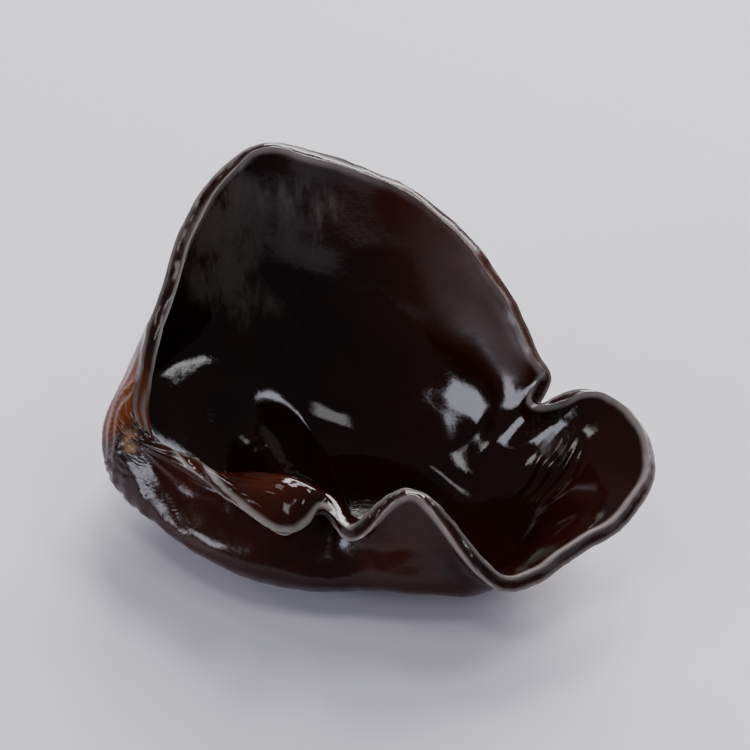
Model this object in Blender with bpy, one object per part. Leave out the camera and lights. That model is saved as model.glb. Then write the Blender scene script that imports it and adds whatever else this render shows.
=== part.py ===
"""A wood ear mushroom, fresh and wet, resting on its flattened underside. Blender 4.5, metres, +Z up.

The ear is one sheet of flesh, cupped like a bowl: a high back wall, a shallow lobe on the right, a pleated
front rim with one lip rolled outwards, and a thicker stubby stem on the left, where it grew from the wood.
"""

import math

import bmesh
import bpy
import numpy as np

MM = 0.001

FLESH = 1.3  # thickness of the sheet, mm
THICKEST = 2.6

# Where the sheet is thicker or thinner: the middle of the place, how far it reaches and its thickness, mm.
THICKNESS_SPOTS = (
    ((-20.5, -0.5, 7.5), 6.0, THICKEST),  # stem
    ((-14.0, -6.4, 8.9), 3.5, 0.9),  # where the lip starts to roll
    ((-4.5, -10.4, 9.9), 3.5, 0.8),  # front notch
)

SAMPLES_PER_STATION = 3
FLOOR_RINGS = 6
LOWER_RINGS = 5  # from the floor's edge to the belly
MIDDLE_RINGS = 5  # from the belly to the shoulder
UPPER_RINGS = 6  # from the shoulder to the rim
FLOOR_CENTRE = np.array((-1.0, 0.5, FLESH / 2))  # mm
FLOOR_SHARE = 0.42  # the flat floor's outline, as a share of the way out to the rim

RIM_SOFTNESS = 0.35  # rounding of the rim line between stations, counted in stations
PLEAT_SPREAD = 1.6  # how many stations a pleat spreads over as it runs down the wall
PLEAT_FADE = 1.6  # how quickly a pleat loses its depth down the wall
SHAPE_SOFTNESS = 0.7
PLAN_SOFTNESS = 3.5

# The rim, clockwise from the stem as seen from above, and the wall below each of its points, in mm:
# the rim's x, y, z; how far outside the rim the belly lies, and its height; how far outside the rim the
# shoulder lies, and how far above the rim.
RIM_STATIONS = (
    (-19.8, -0.2, 9.0, 3.6, 4.2, 2.2, -1.8),  # stem
    (-19.7, 3.2, 11.1, 3.4, 5.0, 2.4, -2.6),  # left wall
    (-18.5, 7.2, 14.2, 2.6, 6.0, 2.0, -4.2),
    (-17.2, 12.6, 16.9, 0.2, 6.2, 0.8, -5.4),
    (-15.4, 17.2, 19.4, -2.6, 6.2, -0.2, -6.2),
    (-12.2, 20.6, 21.6, -4.4, 6.2, -1.0, -6.6),  # back wall
    (-8.4, 21.8, 22.5, -5.0, 6.0, -1.4, -7.0),
    (-2.1, 20.4, 21.6, -5.0, 6.0, -1.8, -6.6),
    (5.7, 17.0, 19.0, -4.8, 5.4, -1.8, -5.8),
    (11.1, 11.4, 15.2, -4.4, 4.8, -1.6, -4.6),
    (13.6, 6.8, 11.2, -4.4, 4.0, -1.6, -3.2),
    (15.2, 5.9, 10.2, -5.0, 3.8, -1.8, -2.8),  # small flap
    (13.2, 4.2, 8.2, -5.4, 3.6, -2.0, -2.6),  # fold behind the lobe
    (16.0, 3.6, 9.6, -6.2, 3.6, -2.2, -2.4),
    (18.6, 4.0, 10.4, -7.0, 3.6, -2.4, -2.2),  # right lobe
    (22.2, 0.8, 10.2, -7.6, 3.6, -2.6, -2.0),
    (23.8, -4.4, 9.6, -7.6, 3.6, -2.7, -1.9),
    (22.2, -8.8, 8.9, -7.2, 3.4, -2.7, -1.8),
    (18.6, -12.2, 8.1, -6.2, 3.3, -2.6, -1.8),
    (14.2, -15.4, 7.3, -5.0, 3.0, -2.2, -1.8),
    (11.0, -17.2, 6.9, -3.6, 2.8, -1.4, -2.0),  # spout
    (7.8, -15.2, 9.0, -1.2, 3.4, -0.4, -2.8),
    (5.2, -12.8, 12.0, 0.6, 3.8, 0.2, -3.4),
    (2.9, -11.9, 13.2, 1.2, 4.0, 0.5, -3.8),  # arch
    (0.8, -12.5, 12.4, 1.2, 4.0, 0.2, -3.4),
    (-1.4, -14.1, 10.4, 0.4, 4.0, -1.2, -1.6),
    (-2.8, -13.6, 9.9, 0.6, 4.0, -2.4, -1.0),
    (-4.5, -10.9, 10.2, 0.8, 4.0, -3.2, -1.2),  # front notch
    (-6.2, -13.0, 9.6, 0.8, 4.0, -3.4, 0.8),
    (-8.0, -13.4, 9.4, 1.0, 4.0, -3.9, 1.7),  # left lip
    (-10.8, -11.0, 9.6, 2.0, 4.0, -3.6, 1.0),
    (-13.6, -7.2, 9.8, 2.8, 4.0, -1.6, -0.8),
    (-16.8, -3.2, 9.5, 3.4, 4.2, 1.2, -1.4),
)

# The fold that runs across the floor from the front notch: x, y, height and half width in mm.
FLOOR_FOLD = (
    (-4.6, -11.5, 0.0, 1.9),
    (-5.2, -7.5, 2.8, 2.1),
    (-7.2, -1.0, 3.2, 2.4),
    (-9.0, 4.0, 2.2, 2.5),
    (-11.2, 9.0, 1.2, 2.6),
    (-13.0, 13.0, 0.0, 2.6),
)
FOLD_FADE_FROM = 3.0  # height on the wall where the fold starts to fade, mm
FOLD_FADE_OVER = 7.0


def spline(stations, position):
    """A closed Catmull-Rom curve through rows of numbers, at a position counted in stations."""
    start = math.floor(position)
    t = position - start
    p, q, r, s = (np.array(stations[(start + k) % len(stations)], dtype=float) for k in (-1, 0, 1, 2))
    return 0.5 * (2 * q + (r - p) * t + (2 * p - 5 * q + 4 * r - s) * t**2 + (3 * q - p - 3 * r + s) * t**3)


def softened(rows, spread):
    """Rows around the rim, each averaged with its neighbours over about this many stations."""
    if spread < 0.05:
        return rows
    count = len(rows)
    steps = np.arange(count)
    apart = np.abs(steps[:, None] - steps[None, :])
    apart = np.minimum(apart, count - apart) / (spread * SAMPLES_PER_STATION)
    weights = np.exp(-0.5 * apart**2)
    return (weights / weights.sum(axis=1)[:, None]) @ rows


def fold_height(x, y, z):
    """How far the floor's fold lifts the flesh at a point, from the distance in plan to the fold's path."""
    gap, height, width = math.inf, 0.0, 1.0
    for a, b in zip(FLOOR_FOLD, FLOOR_FOLD[1:]):
        dx, dy = b[0] - a[0], b[1] - a[1]
        t = min(1.0, max(0.0, ((x - a[0]) * dx + (y - a[1]) * dy) / (dx * dx + dy * dy)))
        here = math.hypot(x - a[0] - dx * t, y - a[1] - dy * t)
        if here < gap:
            gap, height, width = here, a[2] + (b[2] - a[2]) * t, a[3] + (b[3] - a[3]) * t
    across = max(0.0, 1 - (gap / (2 * width)) ** 2) ** 2
    down_the_wall = min(1.0, max(0.0, 1 - (z - FOLD_FADE_FROM) / FOLD_FADE_OVER))
    return height * across * down_the_wall


def length(rows):
    return np.linalg.norm(rows, axis=1)[:, None]


def curved(start, end, leaving, arriving, steps):
    """Rows along the curves from one row to another, which leave and arrive in these directions."""
    reach = length(end - start)
    rows = []
    for k in range(steps):
        t = k / steps
        from_start = start * (2 * t**3 - 3 * t**2 + 1) + leaving * reach * (t**3 - 2 * t**2 + t)
        rows.append(from_start + end * (3 * t**2 - 2 * t**3) + arriving * reach * (t**3 - t**2))
    return rows


def sheet_rows():
    """The sheet's mid surface in mm, as closed rows of points from the middle of the floor to the rim."""
    count = len(RIM_STATIONS) * SAMPLES_PER_STATION
    samples = np.array([spline(RIM_STATIONS, k / SAMPLES_PER_STATION) for k in range(count)])
    rim = softened(samples[:, :3], RIM_SOFTNESS)
    calm = softened(rim, PLEAT_SPREAD)
    belly_out, belly_z, shoulder_out, shoulder_up = softened(samples[:, 3:], SHAPE_SOFTNESS).T[:, :, None]
    feet = FLOOR_CENTRE + (softened(rim, PLAN_SOFTNESS) - FLOOR_CENTRE) * FLOOR_SHARE
    feet[:, 2] = FLESH / 2
    outwards = (feet - FLOOR_CENTRE) / length(feet - FLOOR_CENTRE)
    up = np.array((0.0, 0.0, 1.0))
    belly = calm + outwards * belly_out + up * (belly_z - calm[:, 2:3])
    shoulder = calm + outwards * shoulder_out + up * shoulder_up
    at_belly = (shoulder - feet) / length(shoulder - feet)
    to_shoulder = (shoulder - belly) / length(shoulder - belly)
    to_rim = (calm - shoulder) / length(calm - shoulder)
    at_shoulder = (to_shoulder + to_rim) / length(to_shoulder + to_rim)
    at_rim = to_rim * 1.5 - at_shoulder / 2
    rows = [FLOOR_CENTRE + (feet - FLOOR_CENTRE) * k / FLOOR_RINGS for k in range(1, FLOOR_RINGS)]
    wall = curved(feet, belly, outwards, at_belly, LOWER_RINGS)
    wall += curved(belly, shoulder, at_belly, at_shoulder, MIDDLE_RINGS)
    wall += curved(shoulder, calm, at_shoulder, at_rim, UPPER_RINGS) + [calm]
    for k, row in enumerate(wall):
        s = k / (len(wall) - 1)
        rows.append(row + softened(rim - calm, PLEAT_SPREAD * (1 - s)) * s**PLEAT_FADE)
    return rows


def build_sheet():
    """The sheet as one open mesh, facing up into the cup."""
    bm = bmesh.new()
    rings = []
    for row in sheet_rows():
        rings.append([bm.verts.new((x * MM, y * MM, (z + fold_height(x, y, z)) * MM)) for x, y, z in row])
    middle = bm.verts.new(FLOOR_CENTRE * MM)
    count = len(rings[0])
    for k in range(count):
        after = (k + 1) % count
        bm.faces.new((middle, rings[0][after], rings[0][k]))
        for inner, outer in zip(rings, rings[1:]):
            bm.faces.new((inner[k], inner[after], outer[after], outer[k]))
    mesh = bpy.data.meshes.new("wood_ear")
    bm.to_mesh(mesh)
    bm.free()
    return mesh


def thicken(ear):
    """Gives the sheet its flesh, thicker towards the stem and thinner in its tightest folds."""
    group = ear.vertex_groups.new(name="flesh")
    for vertex in ear.data.vertices:
        thickness = FLESH
        for middle, reach, there in THICKNESS_SPOTS:
            near = max(0.0, 1 - np.linalg.norm(np.array(vertex.co) / MM - middle) / reach)
            thickness += (there - FLESH) * near * (2 - near)
        group.add([vertex.index], thickness / THICKEST, "REPLACE")
    solid = ear.modifiers.new("flesh", "SOLIDIFY")
    solid.thickness = THICKEST * MM
    solid.offset = 0
    solid.vertex_group = "flesh"


def make_flesh():
    """Dark brown, wet, jelly-like flesh."""
    material = bpy.data.materials.new("wood_ear_flesh")
    material.use_nodes = True
    surface = material.node_tree.nodes["Principled BSDF"]
    surface.inputs["Base Color"].default_value = (0.028, 0.010, 0.006, 1)
    surface.inputs["Roughness"].default_value = 0.22
    surface.inputs["Metallic"].default_value = 0.0
    return material


def main():
    for obj in list(bpy.data.objects):
        bpy.data.objects.remove(obj)
    ear = bpy.data.objects.new("wood_ear", build_sheet())
    bpy.context.scene.collection.objects.link(ear)
    ear.data.materials.append(make_flesh())
    ear.data.shade_smooth()
    thicken(ear)


main()
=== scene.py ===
"""The looks of a fresh, wet wood ear mushroom: one cupped sheet of dark jelly flesh, lit on a pale table."""

import math

import bpy
import bmesh
import numpy as np
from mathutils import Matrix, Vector, kdtree, noise


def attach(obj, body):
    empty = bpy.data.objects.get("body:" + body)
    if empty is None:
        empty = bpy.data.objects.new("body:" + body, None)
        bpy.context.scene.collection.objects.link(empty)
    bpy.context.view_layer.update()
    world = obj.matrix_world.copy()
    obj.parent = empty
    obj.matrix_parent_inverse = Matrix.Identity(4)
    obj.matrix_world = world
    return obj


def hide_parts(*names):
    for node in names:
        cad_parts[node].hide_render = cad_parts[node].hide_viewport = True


MM = 0.001

# ---------------------------------------------------------------------------------------------------------
# Measures of the ear, in mm
# ---------------------------------------------------------------------------------------------------------

FLESH = 1.3
THICKEST = 2.6

# Where the flesh is thicker or thinner: the middle of the place, how far it reaches and its thickness.
THICKNESS_SPOTS = (
    ((-20.5, -0.5, 7.5), 6.0, THICKEST),  # stem
    ((-14.0, -6.4, 8.9), 3.5, 0.9),  # where the lip starts to roll
    ((-4.5, -10.4, 9.9), 3.5, 0.8),  # front notch
)

# The rim, clockwise from the stem as seen from above, and the wall below each of its points: the rim's
# x, y, z; how far outside the rim the belly lies, and its height; how far outside the rim the shoulder
# lies, and how far above the rim.
RIM_STATIONS = (
    (-19.8, -0.2, 9.0, 3.6, 4.2, 2.2, -1.8),  # stem
    (-19.7, 3.2, 11.1, 3.4, 5.0, 2.4, -2.6),  # left wall
    (-18.5, 7.2, 14.2, 2.6, 6.0, 2.0, -4.2),
    (-17.2, 12.6, 16.9, 0.2, 6.2, 0.8, -5.4),
    (-15.4, 17.2, 19.4, -2.6, 6.2, -0.2, -6.2),
    (-12.2, 20.6, 21.6, -4.4, 6.2, -1.0, -6.6),  # back wall
    (-8.4, 21.8, 22.5, -5.0, 6.0, -1.4, -7.0),
    (-2.1, 20.4, 21.6, -5.0, 6.0, -1.8, -6.6),
    (5.7, 17.0, 19.0, -4.8, 5.4, -1.8, -5.8),
    (11.1, 11.4, 15.2, -4.4, 4.8, -1.6, -4.6),
    (13.6, 6.8, 11.2, -4.4, 4.0, -1.6, -3.2),
    (15.2, 5.9, 10.2, -5.0, 3.8, -1.8, -2.8),  # small flap
    (13.2, 4.2, 8.2, -5.4, 3.6, -2.0, -2.6),  # fold behind the lobe
    (16.0, 3.6, 9.6, -6.2, 3.6, -2.2, -2.4),
    (18.6, 4.0, 10.4, -7.0, 3.6, -2.4, -2.2),  # right lobe
    (22.2, 0.8, 10.2, -7.6, 3.6, -2.6, -2.0),
    (23.8, -4.4, 9.6, -7.6, 3.6, -2.7, -1.9),
    (22.2, -8.8, 8.9, -7.2, 3.4, -2.7, -1.8),
    (18.6, -12.2, 8.1, -6.2, 3.3, -2.6, -1.8),
    (14.2, -15.4, 7.3, -5.0, 3.0, -2.2, -1.8),
    (11.0, -17.2, 6.9, -3.6, 2.8, -1.4, -2.0),  # spout
    (7.8, -15.2, 9.0, -1.2, 3.4, -0.4, -2.8),
    (5.2, -12.8, 12.0, 0.6, 3.8, 0.2, -3.4),
    (2.9, -11.9, 13.2, 1.2, 4.0, 0.5, -3.8),  # arch
    (0.8, -12.5, 12.4, 1.2, 4.0, 0.2, -3.4),
    (-1.4, -14.1, 10.4, 0.4, 4.0, -1.2, -1.6),
    (-2.8, -13.6, 9.9, 0.6, 4.0, -2.4, -1.0),
    (-4.5, -10.9, 10.2, 0.8, 4.0, -3.2, -1.2),  # front notch
    (-6.2, -13.0, 9.6, 0.8, 4.0, -3.4, 0.8),
    (-8.0, -13.4, 9.4, 1.0, 4.0, -3.9, 1.7),  # left lip
    (-10.8, -11.0, 9.6, 2.0, 4.0, -3.6, 1.0),
    (-13.6, -7.2, 9.8, 2.8, 4.0, -1.6, -0.8),
    (-16.8, -3.2, 9.5, 3.4, 4.2, 1.2, -1.4),
)

# How many points there are between two stations of the rim, and how many rings in each part of the wall.
SAMPLES_PER_STATION = 6
LOWER_RINGS = 12
MIDDLE_RINGS = 14
UPPER_RINGS = 14
RIM_RING = LOWER_RINGS + MIDDLE_RINGS + UPPER_RINGS
FOOT_RINGS = 9  # these are smoothed into the floor

# How far a point of the wall takes after its neighbours, counted in stations: along the rim itself, in the
# pleats below it, in the belly and shoulder, and in the outline of the floor.
RIM_SOFTNESS = 0.35
PLEAT_SPREAD = 1.6
SHAPE_SOFTNESS = 0.7
PLAN_SOFTNESS = 3.5
LEAST_SPREAD = 0.05  # less than this changes nothing
PLEAT_FADE = 1.6  # how soon the rim's pleats fade, going down the wall

# The floor: its middle, its size as a share of the rim's outline, and the cells along its longer side.
FLOOR_CENTRE = np.array((-1.0, 0.5, FLESH / 2))
FLOOR_SHARE = 0.42
FLOOR_RADIUS = 8.0
FLOOR_SPAN = 50

# The fold that runs across the floor from the front notch: x, y, height and half width.
FLOOR_FOLD = (
    (-4.6, -11.5, 0.0, 1.9),
    (-5.2, -7.5, 2.8, 2.1),
    (-7.2, -1.0, 3.2, 2.4),
    (-9.0, 4.0, 2.2, 2.5),
    (-11.2, 9.0, 1.2, 2.6),
    (-13.0, 13.0, 0.0, 2.6),
)
FOLD_FADE_FROM = 3.0  # the height at which the fold begins to fade into the wall
FOLD_FADE_OVER = 7.0

STEM = Vector((-20.3, -0.8, 8.6))  # the middle of the knot where the ear grew from the wood
CUP_MIDDLE = Vector((0.0, 1.0, 9.0))

# The sheet's waves: their width, their height, and how much of it the calm part of the wall loses or the
# foot of the wall gains. The floor stays flat.
BROAD_WAVE, BROAD_WAVE_HEIGHT, CALM_WALL_LOSS = 8.0, 0.30, 0.24
SMALL_WAVE, SMALL_WAVE_HEIGHT, FOOT_GAIN = 2.9, 0.05, 0.12
CALM_WALL_MIDDLE, CALM_WALL_REACH = Vector((9.0, 11.0, 12.0)), 14.0
FOOT_TOP = 12.0
FLAT_UP_TO, FLAT_FADE = 1.2, 4.0
# Waves of nearly the same width read the noise at places of their own, or they would lie on each other.
SMALL_WAVE_PLACE, OUTSIDE_LUMP_PLACE = Vector((7, 3, 1)), Vector((3, 9, 2))

# The rim: width and depth of its nicks, and the rings that they reach; the strip of skin along each of its
# edges, the groove between the strips, and the rounding of an edge; width and height of its beads.
RIM_NICKS = ((5.0, 0.35), (2.1, 0.18))
NICKED_RINGS = 4
RIM_STRIP, RIM_GROOVE, RIM_ROUNDING = 0.26, 0.16, 0.13
RIM_BEAD, RIM_BEAD_HEIGHT, RIM_BEAD_REACH = 0.9, 0.14, 1.3

# Groups of fine folds in the skin: start and end of the group, how far it reaches to each side, the width of
# one fold and its height.
FINE_FOLDS = (
    (Vector((12.5, -3.4, 4.6)), Vector((17.6, 0.6, 7.0)), 3.4, 1.2, 0.22),  # foot of the lobe
    (Vector((-5.2, -7.5, 6.5)), Vector((-10.5, 7.5, 3.2)), 3.0, 1.05, 0.17),  # crest of the floor's fold
    (Vector((-17.5, -2.8, 9.6)), Vector((-7.0, -11.6, 11.0)), 3.2, 1.35, 0.13),  # rolled lip
)
FOLD_WANDER_WIDTH, FOLD_WANDER = 3.5, 0.7  # how they wander, the second as a share of a fold's width
FOLD_GROUP_RUN = 0.6  # how far a group runs from its middle, as a share of its length

# Lines along the rolled lip: their direction from the stem and how far they spread about it, in radians;
# the middle of their run and its reach; lines in a full turn, and their height and that of the finer lines
# between them, which begin further out.
LIP_TURN, LIP_SPREAD = -0.65, 0.8
LIP_MIDDLE, LIP_REACH = 9.0, 11.0
LIP_LINES, LIP_LINE_HEIGHT, FINER_LINE_HEIGHT = 34, 0.12, 0.09
LIP_WANDER_WIDTH, LIP_WANDER = 2.6, 1.6
FINER_LINES_FROM, FINER_LINES_OVER = 7, 3

# Veins on the outside, which run together at the stem: how far they reach, how many there are in a radian,
# how long one is, how wide a ridge is as a share, and its height.
VEIN_REACH, VEINS, VEIN_LENGTH, VEIN_WIDTH, VEIN_HEIGHT = 17, 5.5, 9, 0.35, 0.55
VEIN_LAYER = 0.3

# The knot at the stem, with the width and the share of its lumps; and the low lumps of the outside.
KNOT_REACH, KNOT_HEIGHT, KNOT_LUMPS = 2.6, 0.55, ((0.9, 1.0), (0.4, 0.4))
OUTSIDE_LUMP, OUTSIDE_LUMP_HEIGHT, OUTSIDE_LUMPS_FROM = 1.4, 0.06, 0.6

# Where the colour of the skin changes: middle, reach and strength of each place.
RUST_PLACES = (
    (Vector((9.0, 13.0, 15.0)), 11.0, 0.9),  # back wall, to the right
    (Vector((13.0, 8.5, 10.5)), 5.0, 0.9),
    (Vector((3.0, 18.0, 19.5)), 8.0, 0.7),
    (Vector((-14.5, -4.5, 10.5)), 6.0, 1.0),  # rolled lip
    (Vector((-8.5, -9.5, 11.0)), 5.0, 1.0),
    (Vector((-15.0, -9.0, 4.0)), 7.0, 0.5),  # outside, below the stem
    (Vector((2.0, -14.0, 8.0)), 5.0, 0.5),  # outside of the arch
    (Vector((18.0, -4.0, 8.0)), 7.0, 0.3),  # lobe
)
# Painted sheen: a greyish reflection painted into the colour of the cup, with a duller finish under it.
DULL_PAINTED_SHEEN_PLACES = (
    (Vector((-13.5, 16.0, 17.5)), 7.5, 1.0),  # left of the back wall, from the rim down
    (Vector((-13.0, 16.0, 12.0)), 6.0, 0.7),
    (Vector((-6.5, 19.0, 17.0)), 7.0, 0.5),
    (Vector((-9.0, 15.5, 8.5)), 5.0, 0.45),
    (Vector((15.5, 1.5, 6.5)), 4.5, 0.5),  # foot of the lobe
)
ORANGE_MIDDLE, ORANGE_REACH = Vector((-21.3, 3.6, 9.4)), 6.5
KNOT_COLOUR_REACH = 2.4

# The pale lines along the rim, on the crests of its two ridges: partly a paler cut edge, partly painted
# highlights.
# Their distance from its middle, their half width, and where they are fainter, as painted shade where the rim
# catches no highlight.
RIM_EDGE_AND_HIGHLIGHT_LINE, RIM_EDGE_AND_HIGHLIGHT_REACH = 0.62, 0.34
FAINT_RIM_MIDDLE, FAINT_RIM_REACH, FAINT_RIM_LOSS = Vector((7.0, 14.0, 17.0)), 18.0, 0.9
RIM_STEPS = 8  # points on the middle line of the rim, between two points of the sheet

# ---------------------------------------------------------------------------------------------------------
# Finish, light and camera
# ---------------------------------------------------------------------------------------------------------

# Colours of the flesh, as sRGB: the dark and the light of its clouds, inside and outside, and the tints on it.
INSIDE_DARK, INSIDE_LIGHT = "#160604", "#220A06"
OUTSIDE_DARK, OUTSIDE_LIGHT = "#140504", "#2E0C08"
DOWN_TINT = "#32140E"
RUST_TINT = "#3C1407"
# the grey tint below is a painted sheen: a soft reflection painted into the cup's colour
PAINTED_SHEEN_TINT = "#5E564E"
ORANGE_TINT = "#6E3208"
# the rim's tint is partly its paler cut edge, partly painted highlights along its two ridges
PALE_RIM_AND_HIGHLIGHT_TINT = "#8E8480"
KNOT_TINT = "#A07C58"

# Roughness: a film of water, a skin that has begun to dry on the right wall, a dull patch under the painted
# sheen, the outside between and on its down, and the cut edge of the rim.
WATER_FILM, DRYING_WALL, DULL_SHEEN_PATCH = 0.05, 0.38, 0.42
OUTSIDE_SMOOTH, OUTSIDE_DOWNY = 0.12, 0.24
WET_RIM = 0.1
WET_FLESH_IOR = 1.34  # water has 1.33

# Patterns in the flesh, in mm: clouds where the jelly is denser, the mottling of the skin, the streaks at the
# ragged edge of the painted sheen, and the down of the outside, whose hairs are about 0.1 mm and are drawn
# coarser so that they show.
CLOUD, MOTTLE, STREAK, DOWN = 6.0, 1.6, 1.3, 0.35

# A Mix node's sockets have the same names for colours and numbers, so they are taken by their place.
SHARE, LOWER_COLOUR, UPPER_COLOUR, MIXED_COLOUR = 0, 6, 7, 2
LOWER_NUMBER, UPPER_NUMBER = 2, 3

TABLE_RADIUS = 3.0
TABLE_TINT = "#F0EBF5"
SKY_TINT, SKY_STRENGTH = "#DDE2EE", 0.22

# Softboxes: name; degrees from the front, to the right; degrees above the table; distance in metres; width
# and height in degrees as the ear sees them; brightness and tint.
SOFTBOXES = (
    ("window", -70, 18, 0.7, (19, 18), 13, "#EEF0FF"),
    ("left_softbox", -100, 32, 0.8, (9, 6), 9, "#FFFFFF"),
    ("left_back_softbox", -141, 52, 0.8, (6, 12), 5, "#FFFFFF"),
    ("back_softbox", 163, 22, 0.9, (42, 20), 17, "#FFFFFF"),
    ("fold_softbox", 168, 43, 0.8, (20, 12), 14, "#FFFFFF"),
    ("back_right_softbox", 124, 48, 0.8, (16, 11), 13, "#F2F3FF"),
    ("right_softbox", 72, 57, 0.8, (7, 4), 14, "#FFFFFF"),
    ("top_softbox", -20, 78, 0.9, (14, 14), 6, "#FFFFFF"),
)
LIT_POINT = Vector((0, 0, 0.008))  # they all face this

# The camera: its angle above the table, its distance, and the width and middle of what it takes in.
CAMERA_HEIGHT = math.radians(42)
CAMERA_DISTANCE = 0.75
FRAME_WIDTH = 64.3 * MM
FRAME_MIDDLE = Vector((0, 0.00767, 0.00852))
SENSOR_WIDTH = 36
NEAREST_SEEN = 0.01


# ---------------------------------------------------------------------------------------------------------
# The shape of the sheet
# ---------------------------------------------------------------------------------------------------------

def spline(stations, position):
    """A closed Catmull-Rom curve through rows of numbers, at a position counted in stations."""
    start = math.floor(position)
    t = position - start
    p, q, r, s = (np.array(stations[(start + k) % len(stations)], dtype=float) for k in (-1, 0, 1, 2))
    return 0.5 * (2 * q + (r - p) * t + (2 * p - 5 * q + 4 * r - s) * t**2 + (3 * q - p - 3 * r + s) * t**3)


def softened(rows, spread):
    """Rows around the rim, each averaged with its neighbours over about this many stations."""
    if spread < LEAST_SPREAD:
        return rows
    count = len(rows)
    steps = np.arange(count)
    apart = np.abs(steps[:, None] - steps[None, :])
    apart = np.minimum(apart, count - apart) / (spread * SAMPLES_PER_STATION)
    weights = np.exp(-0.5 * apart**2)
    return (weights / weights.sum(axis=1)[:, None]) @ rows


def length(rows):
    """The length of each row, as a column."""
    return np.linalg.norm(rows, axis=1)[:, None]


def curved(start, end, leaving, arriving, steps):
    """Rows along the curves from one row to another, which leave and arrive in these directions."""
    reach = length(end - start)
    rows = []
    for k in range(steps):
        t = k / steps
        from_start = start * (2 * t**3 - 3 * t**2 + 1) + leaving * reach * (t**3 - 2 * t**2 + t)
        rows.append(from_start + end * (3 * t**2 - 2 * t**3) + arriving * reach * (t**3 - t**2))
    return rows


def wall_rows():
    """The wall's mid surface, as closed rows of points from the floor's edge to the rim."""
    count = len(RIM_STATIONS) * SAMPLES_PER_STATION
    samples = np.array([spline(RIM_STATIONS, k / SAMPLES_PER_STATION) for k in range(count)])
    rim = softened(samples[:, :3], RIM_SOFTNESS)
    calm = softened(rim, PLEAT_SPREAD)
    belly_out, belly_z, shoulder_out, shoulder_up = softened(samples[:, 3:], SHAPE_SOFTNESS).T[:, :, None]
    feet = FLOOR_CENTRE + (softened(rim, PLAN_SOFTNESS) - FLOOR_CENTRE) * FLOOR_SHARE
    feet[:, 2] = FLESH / 2
    outwards = (feet - FLOOR_CENTRE) / length(feet - FLOOR_CENTRE)
    up = np.array((0.0, 0.0, 1.0))
    belly = calm + outwards * belly_out + up * (belly_z - calm[:, 2:3])
    shoulder = calm + outwards * shoulder_out + up * shoulder_up
    at_belly = (shoulder - feet) / length(shoulder - feet)
    to_shoulder = (shoulder - belly) / length(shoulder - belly)
    to_rim = (calm - shoulder) / length(calm - shoulder)
    at_shoulder = (to_shoulder + to_rim) / length(to_shoulder + to_rim)
    at_rim = to_rim * 1.5 - at_shoulder / 2
    wall = curved(feet, belly, outwards, at_belly, LOWER_RINGS)
    wall += curved(belly, shoulder, at_belly, at_shoulder, MIDDLE_RINGS)
    wall += curved(shoulder, calm, at_shoulder, at_rim, UPPER_RINGS) + [calm]
    rows = []
    for k, row in enumerate(wall):
        s = k / (len(wall) - 1)
        rows.append(row + softened(rim - calm, PLEAT_SPREAD * (1 - s)) * s**PLEAT_FADE)
    return rows


def fold_height(x, y, z):
    """How far the floor's fold lifts the flesh at a point, from the distance in plan to the fold's path."""
    gap, height, width = math.inf, 0.0, 1.0
    for a, b in zip(FLOOR_FOLD, FLOOR_FOLD[1:]):
        dx, dy = b[0] - a[0], b[1] - a[1]
        t = min(1.0, max(0.0, ((x - a[0]) * dx + (y - a[1]) * dy) / (dx * dx + dy * dy)))
        here = math.hypot(x - a[0] - dx * t, y - a[1] - dy * t)
        if here < gap:
            gap, height, width = here, a[2] + (b[2] - a[2]) * t, a[3] + (b[3] - a[3]) * t
    across = max(0.0, 1 - (gap / (2 * width)) ** 2) ** 2
    down_the_wall = min(1.0, max(0.0, 1 - (z - FOLD_FADE_FROM) / FOLD_FADE_OVER))
    return height * across * down_the_wall


# ---------------------------------------------------------------------------------------------------------
# Modelling steps
# ---------------------------------------------------------------------------------------------------------

def deselect_all():
    """Deselects every object."""
    bpy.ops.object.select_all(action="DESELECT")


def apply_modifier(obj, kind, **settings):
    """Adds a modifier with its settings and applies it."""
    modifier = obj.modifiers.new(kind.lower(), kind)
    for name, value in settings.items():
        setattr(modifier, name, value)
    bpy.ops.object.modifier_apply(modifier=modifier.name)


def place_selected_ring(ear, number, row):
    """Moves the ring of points that was just drawn out to its place in the wall."""
    bm = bmesh.from_edit_mesh(ear.data)
    sector = bm.verts.layers.int["sector"]
    ring = bm.verts.layers.int["ring"]
    for vert in bm.verts:
        if vert.select:
            vert.co = Vector(row[vert[sector]]) * MM
            vert[ring] = number
    bmesh.update_edit_mesh(ear.data)


def model_sheet():
    """The sheet without its thickness: the floor's outline is filled and then drawn out ring by ring."""
    rows = wall_rows()
    deselect_all()
    bpy.ops.mesh.primitive_circle_add(vertices=len(rows[0]), radius=FLOOR_RADIUS * MM, fill_type="NOTHING")
    ear = bpy.context.object
    ear.name = ear.data.name = "wood_ear_flesh"
    bpy.ops.object.mode_set(mode="EDIT")
    bm = bmesh.from_edit_mesh(ear.data)
    sector = bm.verts.layers.int.new("sector")
    bm.verts.layers.int.new("ring")
    for k, vert in enumerate(bm.verts):
        vert[sector] = k
    bmesh.update_edit_mesh(ear.data)
    bpy.ops.mesh.select_all(action="SELECT")
    place_selected_ring(ear, 0, rows[0])
    bpy.ops.mesh.fill_grid(span=FLOOR_SPAN, offset=0, use_interp_simple=True)
    bpy.ops.mesh.select_all(action="DESELECT")
    bpy.ops.mesh.select_non_manifold(extend=False, use_wire=False, use_boundary=True, use_multi_face=False,
                                     use_non_contiguous=False, use_verts=False)
    for number, row in enumerate(rows[1:], 1):
        bpy.ops.mesh.extrude_edges_move()
        place_selected_ring(ear, number, row)
    bpy.ops.mesh.select_all(action="SELECT")
    bpy.ops.mesh.normals_make_consistent(inside=False)
    bpy.ops.object.mode_set(mode="OBJECT")
    return ear


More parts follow.
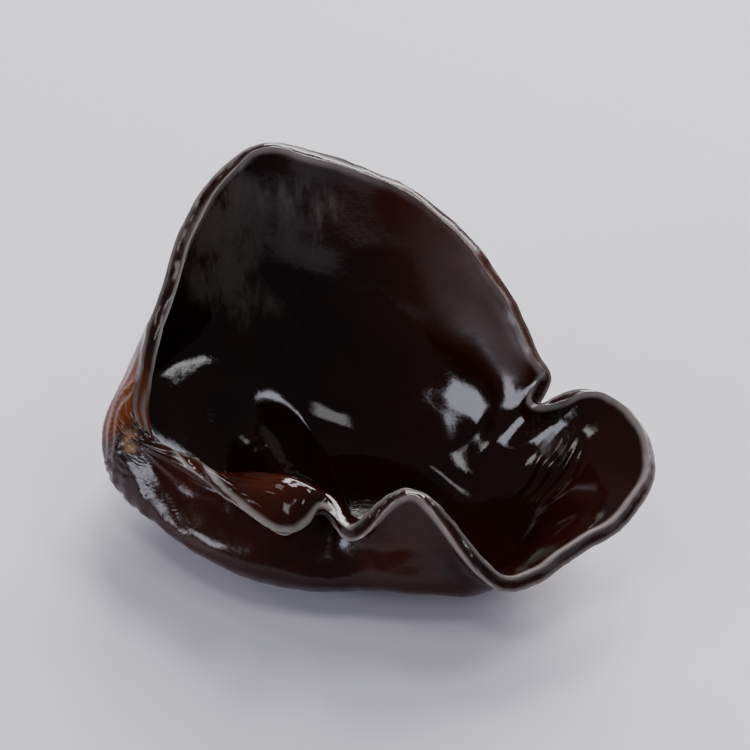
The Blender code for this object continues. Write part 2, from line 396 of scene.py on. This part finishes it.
def soften_foot(ear):
    """Smooths the turn from the floor into the walls."""
    bpy.ops.object.mode_set(mode="EDIT")
    bpy.ops.mesh.select_all(action="DESELECT")
    bm = bmesh.from_edit_mesh(ear.data)
    ring = bm.verts.layers.int["ring"]
    for vert in bm.verts:
        vert.select_set(vert[ring] <= FOOT_RINGS)
    bmesh.update_edit_mesh(ear.data)
    bpy.ops.mesh.vertices_smooth(factor=0.5, repeat=12, xaxis=False, yaxis=False, zaxis=True)
    bpy.ops.object.mode_set(mode="OBJECT")


def lift_floor_fold(ear):
    """Raises the rounded fold that runs from the front notch across the floor."""
    for vert in ear.data.vertices:
        x, y, z = vert.co / MM
        vert.co.z += fold_height(x, y, z) * MM


def give_thickness(ear):
    """Gives the sheet its flesh, thicker towards the stem and thinner in its tightest folds."""
    group = ear.vertex_groups.new(name="flesh")
    ear.vertex_groups.new(name="inside")
    for vertex in ear.data.vertices:
        thickness = FLESH
        for middle, reach, there in THICKNESS_SPOTS:
            near = max(0.0, 1 - (vertex.co / MM - Vector(middle)).length / reach)
            thickness += (there - FLESH) * near * (2 - near)
        group.add([vertex.index], thickness / THICKEST, "REPLACE")
    apply_modifier(ear, "SOLIDIFY", thickness=THICKEST * MM, offset=0, vertex_group="flesh",
                   shell_vertex_group="inside")


def move_skin(ear, shift):
    """Moves every point of the ear by shift(vert, place in mm, normal), which is in mm."""
    verts = ear.data.vertices
    shifts = [shift(vert, vert.co / MM, vert.normal) for vert in verts]
    for vert, step in zip(verts, shifts):
        vert.co += step * MM


def fading(distance, reach):
    """1 in the middle of a place, falling smoothly to 0 at its reach."""
    share = min(1.0, distance / reach)
    return (1 - share * share) ** 2


def growing(distance, start, over):
    """0 up to the start, then growing evenly to 1."""
    return min(1.0, max(0.0, (distance - start) / over))


def lumps(place, kinds):
    """The height of uneven flesh at a point; kinds are the width of a lump and its height."""
    return sum(noise.noise(place / width) * height for width, height in kinds)


def ripple_sheet(ear):
    """Lets the sheet wave a little, as flesh that grew unevenly does."""
    def ripple(vert, place, normal):
        calm = fading((place - CALM_WALL_MIDDLE).length, CALM_WALL_REACH)
        broad = noise.noise(place / BROAD_WAVE) * (BROAD_WAVE_HEIGHT - CALM_WALL_LOSS * calm)
        small = noise.noise(place / SMALL_WAVE + SMALL_WAVE_PLACE)
        small *= SMALL_WAVE_HEIGHT + FOOT_GAIN * fading(place.z, FOOT_TOP)
        return normal * (broad + small) * growing(place.z, FLAT_UP_TO, FLAT_FADE)
    move_skin(ear, ripple)


def nick_rim(ear):
    """Makes the rim's edge slightly ragged."""
    ring = ear.data.attributes["ring"].data

    def nick(vert, place, normal):
        near_rim = max(0, ring[vert.index].value - (RIM_RING - NICKED_RINGS)) / NICKED_RINGS
        return (place - CUP_MIDDLE).normalized() * lumps(place, RIM_NICKS) * near_rim
    move_skin(ear, nick)


def on_rim(face, ring):
    """Whether a face lies on the rim, between the two skins."""
    return all(vert[ring] == RIM_RING for vert in face.verts)


def shape_rim(ear):
    """Sinks the jelly a little between the two skins along the rim, then rounds the edge of each skin."""
    bpy.ops.object.mode_set(mode="EDIT")
    bpy.ops.mesh.select_mode(type="FACE")
    bpy.ops.mesh.select_all(action="DESELECT")
    bm = bmesh.from_edit_mesh(ear.data)
    ring = bm.verts.layers.int["ring"]
    for face in bm.faces:
        face.select_set(on_rim(face, ring))
    bmesh.update_edit_mesh(ear.data)
    bpy.ops.mesh.inset(thickness=RIM_STRIP * MM, depth=-RIM_GROOVE * MM)

    bpy.ops.mesh.select_mode(type="EDGE")
    bpy.ops.mesh.select_all(action="DESELECT")
    bm = bmesh.from_edit_mesh(ear.data)
    ring = bm.verts.layers.int["ring"]
    for edge in bm.edges:
        rim_faces = sum(on_rim(face, ring) for face in edge.link_faces)
        edge.select_set(rim_faces == 1 and len(edge.link_faces) == 2)
    bmesh.update_edit_mesh(ear.data)
    bpy.ops.mesh.bevel(offset=RIM_ROUNDING * MM, segments=2, profile=0.6, clamp_overlap=True)
    bpy.ops.object.mode_set(mode="OBJECT")


def fine_folds(place):
    """The height of the groups of fine folds at a point."""
    height = 0.0
    for start, end, reach, spacing, tall in FINE_FOLDS:
        along = end - start
        t = (place - start).dot(along) / along.length_squared
        off = place - start - along * t
        if off.length > reach or abs(t - 0.5) > FOLD_GROUP_RUN:
            continue
        side = along.cross(Vector((0, 0, 1))).normalized()
        wobble = noise.noise(place / FOLD_WANDER_WIDTH) * FOLD_WANDER
        wave = 0.5 + 0.5 * math.cos(math.tau * (off.dot(side) / spacing + wobble))
        height += tall * wave * fading(off.length, reach) * fading(abs(t - 0.5), FOLD_GROUP_RUN)
    return height


def lip_lines(place):
    """The height of the fine lines that run from the stem along the rolled lip."""
    from_stem = place - STEM
    reach = math.hypot(from_stem.x, from_stem.y)
    turn = math.atan2(from_stem.y, from_stem.x)
    on_lip = fading(abs(turn - LIP_TURN), LIP_SPREAD) * fading(abs(reach - LIP_MIDDLE), LIP_REACH)
    wobble = noise.noise(place / LIP_WANDER_WIDTH) * LIP_WANDER
    lines = LIP_LINE_HEIGHT * math.cos(turn * LIP_LINES + wobble)
    finer = FINER_LINE_HEIGHT * growing(reach, FINER_LINES_FROM, FINER_LINES_OVER)
    return on_lip * (lines + finer * math.cos(turn * 2 * LIP_LINES + 2 * wobble))


def veins(from_stem):
    """The height of the veins at a place measured from the stem."""
    turn = math.atan2(from_stem.z, math.hypot(from_stem.x, from_stem.y))
    turn += math.atan2(from_stem.y, from_stem.x)
    off_ridge = abs(noise.noise(Vector((turn * VEINS, from_stem.length / VEIN_LENGTH, VEIN_LAYER))))
    return (VEIN_WIDTH - off_ridge) * VEIN_HEIGHT * fading(from_stem.length, VEIN_REACH)


def share_inside(ear, vert):
    """1 on the inner skin, 0 on the outer one."""
    inside = ear.vertex_groups["inside"].index
    return max((group.weight for group in vert.groups if group.group == inside), default=0.0)


def wrinkle_skin(ear, rim_line):
    """Fine folds in the cup, veins that run together at the stem, and lumps where it was cut from wood."""
    def wrinkle(vert, place, normal):
        within = share_inside(ear, vert)
        from_stem = place - STEM
        height = (fine_folds(place) + lip_lines(place)) * within
        if from_stem.length < VEIN_REACH:
            height += veins(from_stem) * (1 - within)
        if from_stem.length < KNOT_REACH:
            height += lumps(place, KNOT_LUMPS) * KNOT_HEIGHT * fading(from_stem.length, KNOT_REACH)
        if within < 0.5 and place.z > OUTSIDE_LUMPS_FROM:
            height += noise.noise(place / OUTSIDE_LUMP + OUTSIDE_LUMP_PLACE) * OUTSIDE_LUMP_HEIGHT
        bead = noise.noise(place / RIM_BEAD) * RIM_BEAD_HEIGHT
        return normal * (height + bead * fading(rim_line.find(place)[2], RIM_BEAD_REACH))
    move_skin(ear, wrinkle)


def middle_of_rim(ear):
    """Points in mm along the middle of the rim, to measure distances from."""
    ring, sector = (ear.data.attributes[name].data for name in ("ring", "sector"))
    verts = [vert for vert in ear.data.vertices if ring[vert.index].value == RIM_RING]
    verts.sort(key=lambda vert: sector[vert.index].value)
    points = [vert.co / MM for vert in verts]
    line = kdtree.KDTree(RIM_STEPS * len(points))
    for k, point in enumerate(points):
        after = points[(k + 1) % len(points)]
        for step in range(RIM_STEPS):
            line.insert(point.lerp(after, step / RIM_STEPS), RIM_STEPS * k + step)
    line.balance()
    return line


def share_of(places, place):
    """How much a point has of what lies in these places."""
    bare = 1.0
    for middle, reach, strength in places:
        bare *= 1 - strength * fading((place - middle).length, reach)
    return 1 - bare


def mark_skin(ear, rim_line):
    """Keeps, at each point of the skin, what its colour depends on."""
    attributes = ear.data.attributes
    attributes.new("skin_marks", "FLOAT_COLOR", "POINT")  # inside, rust, orange
    # skin_spots holds the painted sheen patch, the rim's pale lines with their painted highlights, and the
    # knot
    attributes.new("skin_spots", "FLOAT_COLOR", "POINT")  # bloom, rim, knot
    marks, spots = attributes["skin_marks"], attributes["skin_spots"]
    for vert in ear.data.vertices:
        place = vert.co / MM
        within = share_inside(ear, vert)
        orange = fading((place - ORANGE_MIDDLE).length, ORANGE_REACH)
        # the grey patch is a painted sheen, a reflection painted into the colour; the skin under it is also
        # made duller
        sheen_patch = share_of(DULL_PAINTED_SHEEN_PLACES, place) * within
        # the rim's pale lines: partly a paler cut edge, partly painted highlights on its ridges, faded as
        # painted shade where the rim catches no highlight
        rim = fading(abs(rim_line.find(place)[2] - RIM_EDGE_AND_HIGHLIGHT_LINE), RIM_EDGE_AND_HIGHLIGHT_REACH)
        rim *= 1 - FAINT_RIM_LOSS * fading((place - FAINT_RIM_MIDDLE).length, FAINT_RIM_REACH)
        knot = fading((place - STEM).length, KNOT_COLOUR_REACH)
        marks.data[vert.index].color = (within, share_of(RUST_PLACES, place), orange, 1)
        spots.data[vert.index].color = (sheen_patch, rim, knot, 1)


# ---------------------------------------------------------------------------------------------------------
# Finish
# ---------------------------------------------------------------------------------------------------------

def colour(text):
    """An sRGB hex colour as linear red, green, blue and alpha."""
    parts = [int(text[k:k + 2], 16) / 255 for k in (1, 3, 5)]
    return tuple(c / 12.92 if c <= 0.04045 else ((c + 0.055) / 1.055) ** 2.4 for c in parts) + (1,)


def add_node(tree, kind, inputs=None, output=0, **settings):
    """Adds a node with its settings and gives back one of its outputs. Each input takes a value, or a link
    from another node's output."""
    node = tree.nodes.new("ShaderNode" + kind)
    for name, value in settings.items():
        setattr(node, name, value)
    for name, value in (inputs or {}).items():
        if isinstance(value, bpy.types.NodeSocket):
            tree.links.new(value, node.inputs[name])
        else:
            node.inputs[name].default_value = value
    return node.outputs[output]


def wet_jelly_flesh():
    """Soaked wood ear flesh: near-black brown jelly under a film of water, rust brown where it is thin. The
    film makes it glossy, so that it shows the lights and little of its own colour."""
    material = bpy.data.materials.new("wet_jelly_flesh")
    material.use_nodes = True
    tree = material.node_tree
    surface = tree.nodes["Principled BSDF"]
    place = add_node(tree, "TexCoord", output="Object")
    marks = add_node(tree, "Attribute", output="Color", attribute_name="skin_marks")
    spots = add_node(tree, "Attribute", output="Color", attribute_name="skin_spots")
    inside, rust, orange = add_node(tree, "SeparateColor", {"Color": marks}).node.outputs
    sheen_patch, rim, knot = add_node(tree, "SeparateColor", {"Color": spots}).node.outputs
    to_right = add_node(tree, "SeparateXYZ", {"Vector": place}, "X")

    cloud = add_node(tree, "TexNoise", {"Vector": place, "Scale": 1 / (CLOUD * MM), "Detail": 4.0})
    mottle = add_node(tree, "TexNoise", {"Vector": place, "Scale": 1 / (MOTTLE * MM), "Detail": 6.0,
                                         "Roughness": 0.65})
    down = add_node(tree, "TexNoise", {"Vector": place, "Scale": 1 / (DOWN * MM), "Detail": 3.0})
    # the streaks at the painted sheen's ragged edge run down from the rim
    drawn_out = add_node(tree, "VectorMath", {0: place, 1: (1.0, 0.5, 0.3)}, operation="MULTIPLY")
    streaks = add_node(tree, "TexNoise", {"Vector": drawn_out, "Scale": 1 / (STREAK * MM), "Detail": 5.0,
                                          "Roughness": 0.6})

    # cup and outside: nearly black inside, dark red brown with a paler down outside
    clouds = []
    for low, high, dark, light in ((0.35, 0.65, INSIDE_DARK, INSIDE_LIGHT),
                                   (0.3, 0.7, OUTSIDE_DARK, OUTSIDE_LIGHT)):
        share = add_node(tree, "MapRange", {"Value": cloud, "From Min": low, "From Max": high})
        shades = {SHARE: share, LOWER_COLOUR: colour(dark), UPPER_COLOUR: colour(light)}
        clouds.append(add_node(tree, "Mix", shades, MIXED_COLOUR, data_type="RGBA"))
    inner, outer = clouds
    downy = add_node(tree, "Math", {0: down, 1: 0.15}, operation="MULTIPLY")

    # rust where the flesh is thin, mottled
    rust_mottle = add_node(tree, "Math", {0: mottle, 1: 0.4}, operation="ADD")
    rusty = add_node(tree, "Math", {0: rust, 1: rust_mottle}, operation="MULTIPLY")

    # painted sheen: a grey reflection painted into the colour, with a ragged edge (film marks where it lies);
    # the skin under it is made duller too
    ragged = add_node(tree, "Math", {0: streaks, 1: 2.2, 2: sheen_patch}, operation="MULTIPLY_ADD")
    ragged = add_node(tree, "MapRange", {"Value": ragged, "From Min": 1.35, "From Max": 2.1},
                      interpolation_type="SMOOTHSTEP")
    in_sheen_patch = add_node(tree, "MapRange", {"Value": sheen_patch, "From Min": 0.02, "From Max": 0.3},
                        interpolation_type="SMOOTHSTEP")
    film = add_node(tree, "Math", {0: ragged, 1: in_sheen_patch}, operation="MULTIPLY")
    painted_sheen = add_node(tree, "Math", {0: film, 1: 0.75}, operation="MULTIPLY")

    # stem: orange brown, whitish in the knot where it was cut; rim: a paler, greyish cut edge, with painted
    # highlights along its two ridges
    orange = add_node(tree, "Math", {0: mottle, 1: 0.5, 2: orange}, operation="MULTIPLY_ADD")
    orange = add_node(tree, "MapRange", {"Value": orange, "From Min": 0.4, "From Max": 1.0, "To Max": 0.8},
                      interpolation_type="SMOOTHSTEP")
    pale_rim_and_highlight = add_node(tree, "Math", {0: rim, 1: 0.9}, operation="MULTIPLY")
    whitish = add_node(tree, "Math", {0: mottle, 1: 0.9, 2: knot}, operation="MULTIPLY_ADD")
    whitish = add_node(tree, "MapRange", {"Value": whitish, "From Min": 0.75, "From Max": 1.35},
                       interpolation_type="SMOOTHSTEP")

    skin = outer
    for share, above in ((downy, colour(DOWN_TINT)), (inside, inner), (rusty, colour(RUST_TINT)),
                         (painted_sheen, colour(PAINTED_SHEEN_TINT)), (orange, colour(ORANGE_TINT)),
                         (pale_rim_and_highlight, colour(PALE_RIM_AND_HIGHLIGHT_TINT)), (whitish, colour(KNOT_TINT))):
        skin = add_node(tree, "Mix", {SHARE: share, LOWER_COLOUR: skin, UPPER_COLOUR: above}, MIXED_COLOUR,
                        data_type="RGBA")
    tree.links.new(skin, surface.inputs["Base Color"])

    # gloss: a film of water, thinner on the right wall and outside, and dull under the painted sheen
    far_right = add_node(tree, "MapRange", {"Value": to_right, "From Min": 0, "From Max": 5 * MM},
                         interpolation_type="SMOOTHSTEP")
    drying = add_node(tree, "MapRange", {"Value": rust, "From Min": 0.25, "From Max": 0.75},
                      interpolation_type="SMOOTHSTEP")
    drying = add_node(tree, "Math", {0: drying, 1: far_right}, operation="MULTIPLY")
    outside_gloss = add_node(tree, "MapRange", {"Value": down, "From Min": 0.3, "From Max": 0.7,
                                                "To Min": OUTSIDE_SMOOTH, "To Max": OUTSIDE_DOWNY})
    cup_gloss = WATER_FILM
    for share, above in ((drying, DRYING_WALL), (film, DULL_SHEEN_PATCH)):
        cup_gloss = add_node(tree, "Mix", {SHARE: share, LOWER_NUMBER: cup_gloss, UPPER_NUMBER: above})
    gloss = outside_gloss
    for share, above in ((inside, cup_gloss), (rim, WET_RIM)):
        gloss = add_node(tree, "Mix", {SHARE: share, LOWER_NUMBER: gloss, UPPER_NUMBER: above})
    tree.links.new(gloss, surface.inputs["Roughness"])

    surface.inputs["IOR"].default_value = WET_FLESH_IOR
    surface.inputs["Metallic"].default_value = 0.0

    # relief: the down outside only, and the mottling everywhere
    grain = add_node(tree, "Mix", {SHARE: inside, LOWER_NUMBER: down, UPPER_NUMBER: 0.5})
    relief = add_node(tree, "Bump", {"Strength": 0.3, "Distance": 0.04 * MM, "Height": grain})
    relief = add_node(tree, "Bump", {"Strength": 0.2, "Distance": 0.1 * MM, "Height": mottle,
                                     "Normal": relief})
    tree.links.new(relief, surface.inputs["Normal"])
    return material


def pale_table():
    """Matt white laminate: even and without gloss, so that only the ear's shadow shows on it."""
    material = bpy.data.materials.new("pale_table")
    material.use_nodes = True
    surface = material.node_tree.nodes["Principled BSDF"]
    surface.inputs["Base Color"].default_value = colour(TABLE_TINT)
    surface.inputs["Roughness"].default_value = 0.6
    return material


# ---------------------------------------------------------------------------------------------------------
# Table, light and camera
# ---------------------------------------------------------------------------------------------------------

def lay_table():
    """A wide, plain table top under the ear."""
    deselect_all()
    bpy.ops.mesh.primitive_circle_add(vertices=96, radius=TABLE_RADIUS, fill_type="NGON", location=(0, 0, 0))
    table = bpy.context.object
    table.name = "table"
    table.data.materials.append(pale_table())


def hang_softbox(name, turn, height, distance, span, brightness, tint):
    """A flat light that faces the ear."""
    turn, height = math.radians(turn), math.radians(height)
    at = Vector((math.sin(turn) * math.cos(height), -math.cos(turn) * math.cos(height), math.sin(height)))
    at = at * distance
    light = bpy.data.lights.new(name, "AREA")
    light.shape = "RECTANGLE"
    light.size, light.size_y = (2 * distance * math.tan(math.radians(angle) / 2) for angle in span)
    light.energy = brightness * math.pi * light.size * light.size_y
    light.color = colour(tint)[:3]
    lamp = bpy.data.objects.new(name, light)
    lamp.location = at
    lamp.rotation_euler = (LIT_POINT - at).to_track_quat("-Z", "Y").to_euler()
    bpy.context.scene.collection.objects.link(lamp)


def light_studio():
    """A faint, even sky and the softboxes."""
    world = bpy.data.worlds.new("studio")
    world.use_nodes = True
    sky = world.node_tree.nodes["Background"]
    sky.inputs["Color"].default_value = colour(SKY_TINT)
    sky.inputs["Strength"].default_value = SKY_STRENGTH
    bpy.context.scene.world = world
    for softbox in SOFTBOXES:
        hang_softbox(*softbox)


def set_camera():
    """A camera in front of the ear, looking down on it."""
    back = Vector((0, -math.cos(CAMERA_HEIGHT), math.sin(CAMERA_HEIGHT)))
    data = bpy.data.cameras.new("camera")
    data.sensor_width = SENSOR_WIDTH
    data.lens = SENSOR_WIDTH * CAMERA_DISTANCE / FRAME_WIDTH
    data.clip_start = NEAREST_SEEN
    camera = bpy.data.objects.new("camera", data)
    camera.location = FRAME_MIDDLE + back * CAMERA_DISTANCE
    camera.rotation_euler = (-back).to_track_quat("-Z", "Y").to_euler()
    bpy.context.scene.collection.objects.link(camera)
    bpy.context.scene.camera = camera


# ---------------------------------------------------------------------------------------------------------
# The whole
# ---------------------------------------------------------------------------------------------------------

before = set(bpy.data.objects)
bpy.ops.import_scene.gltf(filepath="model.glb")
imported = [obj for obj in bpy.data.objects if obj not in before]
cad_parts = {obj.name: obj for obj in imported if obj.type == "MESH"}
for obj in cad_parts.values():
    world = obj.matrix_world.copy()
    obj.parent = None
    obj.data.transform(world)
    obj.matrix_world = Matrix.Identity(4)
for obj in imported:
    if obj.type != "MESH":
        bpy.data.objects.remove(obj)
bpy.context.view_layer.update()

ear = model_sheet()
soften_foot(ear)
lift_floor_fold(ear)
ripple_sheet(ear)
nick_rim(ear)
rim_line = middle_of_rim(ear)
give_thickness(ear)
shape_rim(ear)
apply_modifier(ear, "SUBSURF", levels=1, render_levels=1)
wrinkle_skin(ear, rim_line)
mark_skin(ear, rim_line)
ear.data.materials.append(wet_jelly_flesh())
ear.data.shade_smooth()

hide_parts("wood_ear")
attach(ear, "root")

lay_table()
light_studio()
set_camera()
